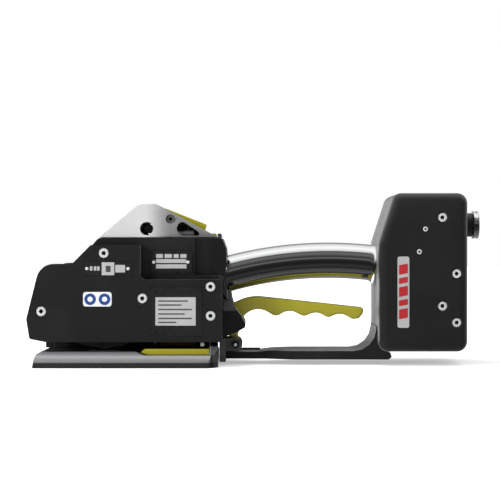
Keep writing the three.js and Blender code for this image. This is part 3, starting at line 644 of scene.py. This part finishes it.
# a generic band on the housing: a pale rounded label with a plain coloured field and light bars
bx = x0 + 0.206 * (x1 - x0)
bz0, bz1 = z0 + 0.153 * (z1 - z0), z0 + 0.6 * (z1 - z0)
placed(
    prism("band_label", [rectangle(bx, bz0, bx + 10.8, bz1, 2.0)], "Y", y0 - 0.35, y0 + 0.1, 0.08, 2),
    "label_silver",
    "head",
)
for k, tall in enumerate((9.5, 6.0, 9.5, 6.0, 9.5)):
    za = bz0 + 7.8 + (0, 11.9, 20.4, 32.2, 40.7)[k]
    slanted = outline(
        [
            (bx + 1.3, za, 0.5),
            (bx + 9.5, za + 1.6, 0.5),
            (bx + 9.5, za + tall + 1.0, 0.5),
            (bx + 1.3, za + tall - 0.6, 0.5),
        ]
    )
    placed(
        prism(f"band_bar_{k + 1}", [slanted], "Y", y0 - 0.45, y0 - 0.2, 0.05, 2),
        "label_red",
        "head",
    )

# ---------------------------------------------------------------- handle
hx0, _, hz0, hx1, _, _ = span("handle_tube")
TUBE_R, ARC = 16.9, 360.0
# known error: the CAD tube's centre line peaks at z = 113.8, so this tube is 16.9 mm too low
apex = Vector((68, 0, 96.9))
arc_centre_z = apex.z - ARC


def handle_point(x):
    return Vector((x, 0, arc_centre_z + math.sqrt(ARC**2 - (x - apex.x) ** 2)))


stations = [hx0 + (105.5 - hx0) * k / 60 for k in range(61)]
stations += [105.5 + (hx1 - 105.5) * (1 - (1 - k / 24) ** 2) for k in range(1, 25)]


def handle_radius(i):
    t = max(0.0, (stations[i] - 105.5) / (hx1 - 105.5))
    return TUBE_R + 5.0 * (1 - math.sqrt(max(0.0, 1 - t * t)))


tube = swept("tube", [handle_point(x) for x in stations], handle_radius, 96)
flange = prism("flange", [rectangle(-19, hz0, 19, hz0 + 29, 4)], "X", hx0, hx0 + 3.8, 0.5, 3)
handle = combined("handle_tube_look", tube, flange)
placed(handle, "chrome_tube", "head", ["handle_tube"])

# ---------------------------------------------------------------- hood
px, _, pz = middle("paddle_pin")
_, gy0, gz0, _, gy1, gz1 = span("hood")
HOOD_WALL = 4.5
side_line = outline([(-145.2, gz0), (-108.7, gz1, 14), (-92.7, gz1, 8), (-35.6, gz0)], 5)
plan_line = outline(
    [
        (-160, gy0),
        (-92, gy0, 46),
        (-30, gy0 + 18, 4),
        (-30, gy1 - 18, 4),
        (-92, gy1, 46),
        (-160, gy1),
    ],
    5,
)
shell = prism("hood_look", [side_line], "Y", gy0 - 5, gy1 + 5)
boolean(shell, [prism("cutter", [plan_line], "Z", gz0 - 10, gz1 + 10)], "INTERSECT")
bevel = shell.modifiers.new("edges", "BEVEL")
bevel.limit_method = "ANGLE"
bevel.angle_limit = math.radians(35)
bevel.width = 2.6 * MM
bevel.segments = 4
applied(shell)
inner_line = outline(
    [
        (-155.2, gz0 - 10),
        (-108.3, gz1 - HOOD_WALL, 10),
        (-93.8, gz1 - HOOD_WALL, 6),
        (-23.5, gz0 - 10),
    ],
    8,
)
inner_plan = outline(
    [
        (-160, gy0 + HOOD_WALL),
        (-92, gy0 + HOOD_WALL, 42),
        (-30, gy0 + 22.5, 4),
        (-30, gy1 - 22.5, 4),
        (-92, gy1 - HOOD_WALL, 42),
        (-160, gy1 - HOOD_WALL),
    ],
    8,
)
inner = prism("inner", [inner_line], "Y", gy0, gy1)
boolean(inner, [prism("cutter", [inner_plan], "Z", gz0 - 20, gz1 + 10)], "INTERSECT")
window = outline(
    [
        (-74.5, 126, 4),
        (-71.5, 132.4, 4),
        (-67, 132.4, 4),
        (-53.5, 123.2, 2.5),
        (-53, 119.8, 1.5),
        (-70, 119.8, 5),
    ],
    6,
)
HOLE = Vector((-101.1, 126.3))
SCREW = Vector((-79.4, 135.2))


def block(x_a, x_b, y_a, y_b, z_a, z_b):
    return prism("cutter", [rectangle(x_a, y_a, x_b, y_b)], "Z", z_a, z_b)


boolean(
    shell,
    [
        inner,
        block(-88, -45.5, -13.5, 13.5, 100, 160),
        block(-46, -20, -9, 9, 100, 160),
        prism("cutter", [circle(HOLE.x, HOLE.y, 6.1, 64)], "Y", -60, 60),
        prism("cutter", [window], "Y", -60, 0),
        prism("cutter", [circle(SCREW.x, SCREW.y, 4.2, 48)], "Y", -60, -41.8),
        prism("cutter", [circle(SCREW.x, SCREW.y, 4.2, 48)], "Y", 41.8, 60),
    ],
)
rims = shell.modifiers.new("rims", "BEVEL")
rims.limit_method = "ANGLE"
rims.angle_limit = math.radians(50)
rims.width = 0.55 * MM
rims.segments = 2
smooth(shell, 40)
placed(shell, "hood_aluminium", "head", ["hood"])

# the paddle's two lugs inside the hood, a roller behind the round holes and the hood's two screws
for side in (-1, 1):
    y_a, y_b = sorted((side * 13.8, side * 18))
    lug_line = rectangle(px - 5, pz - 5, px + 4, pz + 2.5, 1.5)
    lug = prism(f"paddle_lug_{side + 2}", [lug_line], "Y", y_a, y_b, 0.3, 2)
    placed(lug, "hood_aluminium", "head")
    face = side * 44.0
    head = lathe(
        f"hood_screw_{side + 2}",
        [
            (0, 1.9 * -side),
            (1.7, 1.9 * -side, 0.14),
            (1.7, 0.3 * -side, 0.14),
            (2.0, 0, 0.1),
            (3.5, 0.1 * -side),
            (4.1, 0.7 * -side),
            (4.1, 4 * -side),
            (0, 4 * -side),
        ],
        Vector((SCREW.x, face, SCREW.y)),
        "Y",
        72,
    )
    placed(head, "grey_steel", "head")
    # a near-black disc at the socket's bottom: painted shade in the recess
    socket = lathe(
        f"hood_socket_{side + 2}",
        [(0, 1.5 * -side), (1.68, 1.5 * -side, 0.14), (1.68, 1.8 * -side, 0.14), (0, 1.8 * -side)],
        Vector((SCREW.x, face, SCREW.y)),
        "Y",
        72,
    )
    placed(socket, "socket_shade", "head")
roller = lathe(
    "hood_roller",
    [(0, -40), (3.6, -40), (4.1, -39.4), (4.1, 39.4), (3.6, 40), (0, 40)],
    Vector((HOLE.x + 1.0, 0, HOLE.y)),
    "Y",
)
placed(roller, "black_oxide", "head")

# ---------------------------------------------------------------- lever
_, ly0, _, _, ly1, _ = span("hand_lever")
lever_line = outline(
    [
        (-22, 56.8, 3),
        (-6.6, 64.2, 42),
        (100.4, 52.6, 2),
        (100.5, 47.6, 3),
        (96.5, 42.2, 5),
        (89.8, 41.6, 7),
        (79, 48.4, 13),
        (67.6, 42.6, 7),
        (56, 49.4, 13),
        (44.6, 43.8, 7),
        (30.9, 51, 13),
        (18, 43.8, 7),
        (-1.2, 55.3, 17),
        (-12.5, 44, 2),
        (-17.8, 27, 3),
        (-14.2, 12.3, 5),
        (-25.8, 12.3, 5),
        (-26.4, 34, 10),
    ],
    6,
)
pivot = middle("lever_pin")
lever = prism(
    "hand_lever_look",
    [lever_line, circle(-19.9, 18.3, 2.8, 32)],
    "Y",
    ly0,
    ly1,
    2.2,
    5,
)
stands_for(lever, "hand_lever")

# ---------------------------------------------------------------- air inlet
ix0, _, _, ix1, _, _ = span("air_inlet_body")
sx0, _, _, sx1, _, _ = span("inlet_swivel")
centre = Vector((0, inlet.y, inlet.z))
hx = span("housing_shell_near")[3]
body = lathe(
    "air_inlet_body_look",
    [
        (5.5, ix0 + 7),
        (8, ix0 + 7),
        (8, hx + 0.2),
        (10.9, hx + 0.35),
        (11.2, hx + 0.8),
        (11.2, ix1 - 0.7),
        (10.6, ix1),
        (6.2, ix1),
        (5.5, ix1 - 0.7),
        (5.5, ix0 + 7),
    ],
    centre,
    "X",
)
placed(body, "black_casting", "head", ["air_inlet_body"])
ridge = 13.1
swivel = lathe(
    "inlet_swivel_look",
    [
        (6.4, sx0),
        (ridge - 0.6, sx0),
        (ridge, sx0 + 0.5),
        (ridge, sx0 + 1.7),
        (ridge - 0.9, sx0 + 2.2),
        (ridge - 0.9, sx0 + 3.2),
        (ridge, sx0 + 3.7),
        (ridge, sx1 - 0.6),
        (ridge - 0.6, sx1),
        (8.4, sx1),
        (7.9, sx1 - 0.5),
        (7.6, sx1 - 1.2),
        (7.0, sx1 - 1.2),
        (6.4, sx1 - 1.8),
        (6.4, sx0),
    ],
    centre,
    "X",
    96,
)
placed(swivel, "chrome_tube", "inlet_swivel", ["inlet_swivel"])


# ---------------------------------------------------------------- springs
COIL_STEPS = 22  # points in one turn


def coil(name, node, wire, turns):
    a0, _, c0, a1, _, c1 = span(node)
    radius = (a1 - a0) / 2 - wire
    m = middle(node)
    path = []
    for k in range(int(turns * COIL_STEPS) + 1):
        t = k / (turns * COIL_STEPS)
        ease = min(1.0, max(0.0, (t * turns - 0.9) / (turns - 1.8)))
        z = c0 + wire + (c1 - c0 - 2 * wire) * ease
        a = 2 * math.pi * turns * t
        path.append(Vector((m.x + radius * math.cos(a), m.y + radius * math.sin(a), z)))
    obj = swept(name, path, wire, 10)
    return placed(obj, "spring_steel", BODY_OF[node], [node])


coil("rocker_spring_look", "rocker_spring", 0.8, 9)
coil("weld_spring_look", "weld_spring", 1.0, 3.6)

_, ty0, _, tx1, ty1, _ = span("lever_spring")
COIL_R = 4.5
path = []
for k in range(3 * 24 + 1):
    a = 2 * math.pi * k / 24 + math.pi / 2
    path.append(
        Vector(
            (
                pivot.x + COIL_R * math.cos(a),
                ty0 + 1.1 + (ty1 - ty0 - 2.2) * k / 72,
                pivot.z + COIL_R * math.sin(a),
            )
        )
    )
legs = swept("coil", path, 1.0, 12)
leg = swept("leg", [Vector((x, -14, 14)) for x in (pivot.x - 1, -8, tx1)], 1.1, 14)
placed(combined("lever_spring_look", legs, leg), "black_oxide", "head", ["lever_spring"])


stop_bolt = lathe(
    "stop_bolt",
    [(0, -1.4), (1.6, -1.4), (2.0, -1.0), (2.0, 1.0), (0, 1.0)],
    Vector((-49.8, -50, 20.2)),
    "Y",
    32,
)
placed(stop_bolt, "zinc_screw", "head")
# a stand-in that closes the gap between the cover and the base plate
deck_post = prism("deck_post", [rectangle(-44.5, 4, -36.8, 16, 1)], "Z", 10, 24, 0.3, 2)
placed(deck_post, "black_casting", "head")


# ---------------------------------------------------------------- label plates, with plain fields and no text
def field(name, node, u0, v0, u1, v1, material, lift=0.12, r=0.4, thick=0.15):
    """A thin raised field on a plate, placed by shares of the plate's width and height."""
    a0, b0, c0, a1, _, c1 = span(node)
    loop = rectangle(
        a0 + u0 * (a1 - a0),
        c0 + v0 * (c1 - c0),
        a0 + u1 * (a1 - a0),
        c0 + v1 * (c1 - c0),
        r,
    )
    obj = prism(name, [loop], "Y", b0 - lift, b0 - lift + thick, 0.03, 2)
    return placed(obj, material, BODY_OF[node])


def rivet(name, node, u, v, r=1.5, material="zinc_screw"):
    a0, b0, c0, a1, _, c1 = span(node)
    centre_mm = Vector((a0 + u * (a1 - a0), b0, c0 + v * (c1 - c0)))
    profile = [(0, -0.75), (r * 0.5, -0.68), (r * 0.85, -0.4), (r, 0.0), (r, 0.3), (0, 0.3)]
    return placed(lathe(name, profile, centre_mm, "Y", 32), material, BODY_OF[node])


dressed("name_plate", 0.15)
dressed("rating_plate", 0.15)
dressed("service_plate", 0.15)
for i, (u0, u1) in enumerate(((0.13, 0.3), (0.34, 0.52), (0.56, 0.68), (0.72, 0.87))):
    field(f"name_mark_{i + 1}", "name_plate", u0, 0.68, u1, 0.86, "label_silver", r=0.8)
field("name_bar_1", "name_plate", 0.13, 0.45, 0.87, 0.63, "label_silver")
field("name_bar_2", "name_plate", 0.13, 0.2, 0.87, 0.39, "label_silver")
rivet("name_rivet_1", "name_plate", 0.077, 0.49)
rivet("name_rivet_2", "name_plate", 0.907, 0.49)

field("rating_field", "rating_plate", 0.095, 0.22, 0.87, 0.79, "label_silver")
RATING_LINES = ((0.70, 0.72), (0.62, 0.6), (0.53, 0.8), (0.44, 0.66), (0.35, 0.8), (0.27, 0.5))
for i, (v, u1) in enumerate(RATING_LINES):
    field(f"rating_line_{i + 1}", "rating_plate", 0.15, v, u1, v + 0.028, "label_ink", 0.17, 0.2, 0.08)
for i, (u, v) in enumerate(((0.087, 0.92), (0.877, 0.92), (0.087, 0.08), (0.877, 0.08))):
    rivet(f"rating_rivet_{i + 1}", "rating_plate", u, v, 1.3, "black_oxide")

field("service_square", "service_plate", 0.38, 0.03, 0.635, 0.95, "label_silver")
field("service_mark", "service_plate", 0.46, 0.25, 0.56, 0.7, "label_ink", 0.17, 0.2, 0.08)
field("service_window", "service_plate", 0.655, 0.225, 0.855, 0.76, "label_silver")
for i, u in enumerate((0.14, 0.22, 0.285)):
    field(f"service_tick_{i + 1}", "service_plate", u, 0.36, u + 0.05, 0.66, "label_silver")
rivet("service_rivet_1", "service_plate", 0.078, 0.5)
rivet("service_rivet_2", "service_plate", 0.915, 0.5)

cx0, cy0, cz0, _, _, cz1 = span("side_cover")
lz = cz0 + 0.367 * (cz1 - cz0)
sticker = rectangle(cx0 + 51.8, lz, cx0 + 77.7, lz + 13.2, 2.5)
placed(prism("sign_label", [sticker], "Y", cy0 - 0.25, cy0 + 0.1, 0.05, 2), "label_white", "head")
for i, u in enumerate((58.2, 71.3)):
    rim = circle(cx0 + u, lz + 6.6, 5.3)
    disc = prism(f"sign_disc_{i + 1}", [rim], "Y", cy0 - 0.32, cy0 - 0.2, 0.02, 2)
    placed(disc, "label_blue", "head")
    inner_disc = prism(
        f"sign_dot_{i + 1}", [circle(cx0 + u, lz + 6.6, 2.4)], "Y", cy0 - 0.37, cy0 - 0.28, 0.02, 2
    )
    placed(inner_disc, "label_white", "head")

# ---------------------------------------------------------------- the other CAD nodes, with rounded edges
EDGE = {
    "base_plate": 0.5,
    "gripper_plate": 0.2,
    "weld_anvil": 0.2,
    "strap_rail": 0.4,
    "rear_strap_guide": 0.7,
    "front_strap_stop": 0.4,
    "head_casting": 1.0,
    "side_cover": 0.9,
    "far_cover": 1.2,
    "exhaust_cap": 0.7,
    "rear_block": 1.2,
    "foot_plate": 0.5,
    "lever_bracket": 0.9,
    "support_frame": 1.2,
    "valve_block": 0.6,
    "lever_pin": 0.4,
    "lift_rod": 0.3,
    "rocker": 0.6,
    "feed_wheel": 0.12,
    "wheel_gear": 0.2,
    "idler_gear": 0.2,
    "tension_rotor": 0.2,
    "tension_motor": 0.5,
    "weld_cylinder": 0.5,
    "weld_piston": 0.5,
    "weld_shoe": 0.3,
    "cutter_blade": 0.2,
    "eccentric_shaft": 0.3,
    "weld_motor": 0.5,
    "tension_paddle": 1.2,
    "paddle_pin": 0.2,
    "tension_spool": 0.2,
    "seal_button": 0.7,
    "seal_button_tip": 0.3,
    "adjusting_screw": 0.3,
}
LOOKS = {"rear_strap_guide": "base_steel", "lever_pin": "black_oxide"}
for node, width in EDGE.items():
    dressed(node, width, 3 if width > 0.45 else 2, material=LOOKS.get(node))

bolt = lathe(
    "lever_pin_bolt",
    [(0, -0.9), (0.9, -0.9), (1.5, -0.5), (1.7, 0.2), (0, 0.2)],
    Vector((pivot.x, span("lever_pin")[1], pivot.z)),
    "Y",
    32,
)
placed(bolt, "zinc_screw", BODY_OF["lever_pin"])

# ---------------------------------------------------------------- stage, light and camera
def area(name, place, target, size, power):
    lamp = bpy.data.lights.new(name, "AREA")
    lamp.shape = "RECTANGLE"
    lamp.size, lamp.size_y = size
    lamp.energy = power
    obj = bpy.data.objects.new(name, lamp)
    bpy.context.scene.collection.objects.link(obj)
    obj.location = place
    obj.rotation_euler = (Vector(target) - Vector(place)).to_track_quat("-Z", "Y").to_euler()
    return obj


def emission(name, color, strength):
    made = bpy.data.materials.new(name)
    made.use_nodes = True
    tree = made.node_tree
    tree.nodes.clear()
    glow = tree.nodes.new("ShaderNodeEmission")
    glow.inputs["Color"].default_value = (*color, 1)
    glow.inputs["Strength"].default_value = strength
    out = tree.nodes.new("ShaderNodeOutputMaterial")
    tree.links.new(glow.outputs[0], out.inputs["Surface"])
    return made


bpy.ops.mesh.primitive_plane_add(size=16, location=(0, 0, 0))
floor = bpy.context.active_object
floor.name = "floor"
# painted light: the floor glows, weakly near the tool and more strongly from 0.25 m to 1.1 m out, so the far
# floor turns white
paper = Finish("floor_paper", (0.80, 0.80, 0.80), 0.7)
distance = paper.tree.nodes.new("ShaderNodeVectorMath")
distance.operation = "LENGTH"
paper.link(paper.coords.outputs["Object"], distance.inputs[0])
lift = paper.tree.nodes.new("ShaderNodeMapRange")
lift.inputs["From Min"].default_value = 0.25
lift.inputs["From Max"].default_value = 1.1
lift.inputs["To Min"].default_value = 0.42
lift.inputs["To Max"].default_value = 1.1
paper.link(distance.outputs["Value"], lift.inputs["Value"])
paper.shader.inputs["Emission Color"].default_value = (1, 1, 1, 1)
paper.link(lift.outputs["Result"], paper.shader.inputs["Emission Strength"])
floor.data.materials.append(paper.material)
floor.visible_glossy = False

bpy.ops.mesh.primitive_cylinder_add(radius=7.5, depth=12, vertices=64, location=(0, 0, 0))
backdrop = bpy.context.active_object
backdrop.name = "backdrop"
backdrop.data.materials.append(emission("backdrop_white", (1, 1, 1), 1.0))
backdrop.visible_glossy = False
backdrop.visible_diffuse = False
backdrop.visible_shadow = False
backdrop.visible_transmission = False

world = bpy.data.worlds.new("studio")
bpy.context.scene.world = world
world.use_nodes = True
tree = world.node_tree
coords = tree.nodes.new("ShaderNodeTexCoord")
split = tree.nodes.new("ShaderNodeSeparateXYZ")
tree.links.new(coords.outputs["Generated"], split.inputs[0])
forward = tree.nodes.new("ShaderNodeMath")
forward.operation = "MULTIPLY"
forward.inputs[1].default_value = -1
tree.links.new(split.outputs["Y"], forward.inputs[0])
angle = tree.nodes.new("ShaderNodeMath")
angle.operation = "ARCTAN2"
tree.links.new(split.outputs["Z"], angle.inputs[0])
tree.links.new(forward.outputs[0], angle.inputs[1])
share = tree.nodes.new("ShaderNodeMapRange")
share.inputs["From Min"].default_value = -math.pi
share.inputs["From Max"].default_value = math.pi
tree.links.new(angle.outputs[0], share.inputs["Value"])
bands = tree.nodes.new("ShaderNodeValToRGB")
tree.links.new(share.outputs["Result"], bands.inputs["Fac"])
# how bright the room is, by the angle up from the front: 90 is overhead and 180 is behind
STOPS = [
    (-180, 0.33),
    (-170, 0.38),
    (-150, 0.21),
    (-125, 0.21),
    (-110, 0.142),
    (-90, 0.13),
    (-70, 0.084),
    (-52, 0.052),
    (-45, 0.015),
    (-32, 0.037),
    (-20, 0.022),
    (-10, 0.0113),
    (0, 0.0195),
    (8, 0.025),
    (16, 0.148),
    (25, 0.034),
    (35, 0.082),
    (42, 0.133),
    (50, 0.148),
    (60, 0.052),
    (66, 0.60),
    (75, 0.875),
    (85, 1.01),
    (95, 1.11),
    (105, 0.92),
    (120, 0.875),
    (135, 0.467),
    (150, 0.277),
    (165, 0.277),
    (180, 0.33),
]
ramp = bands.color_ramp
while len(ramp.elements) < len(STOPS):
    ramp.elements.new(0.5)
for element, (degrees, value) in zip(ramp.elements, STOPS):
    element.position = (degrees + 180) / 360
    element.color = (value, value, value, 1)
# a bright patch of the room, behind the tool on its left
facing = tree.nodes.new("ShaderNodeVectorMath")
facing.operation = "DOT_PRODUCT"
facing.inputs[1].default_value = (-0.73, 0.68, 0.0)
tree.links.new(coords.outputs["Generated"], facing.inputs[0])
wall_glow = tree.nodes.new("ShaderNodeMapRange")
wall_glow.interpolation_type = "SMOOTHSTEP"
wall_glow.inputs["From Min"].default_value = 0.78
wall_glow.inputs["From Max"].default_value = 1.0
wall_glow.inputs["To Max"].default_value = 1.6
tree.links.new(facing.outputs["Value"], wall_glow.inputs["Value"])
room = tree.nodes.new("ShaderNodeVectorMath")
room.operation = "ADD"
tree.links.new(bands.outputs["Color"], room.inputs[0])
tree.links.new(wall_glow.outputs["Result"], room.inputs[1])
background = tree.nodes["Background"]
tree.links.new(room.outputs["Vector"], background.inputs["Color"])
background.inputs["Strength"].default_value = 1.0

top = area("top_softbox", (-0.1, -0.15, 1.5), (0, 0, 0.05), (1.6, 1.1), 14)
top.visible_glossy = False
key = area("front_left", (-1.75, -1.0, 0.72), (-0.05, 0, 0.08), (0.9, 0.9), 56)
key.visible_glossy = False

camera = bpy.data.objects.new("camera", bpy.data.cameras.new("camera"))
bpy.context.scene.collection.objects.link(camera)
camera.data.sensor_width = 36
camera.data.lens = 102.3
camera.location = (-0.0063, -1.35, 0.1067)
camera.rotation_euler = (math.radians(90), 0, 0)
camera.data.clip_end = 50
bpy.context.scene.camera = camera
bpy.context.scene.view_settings.view_transform = "Standard"
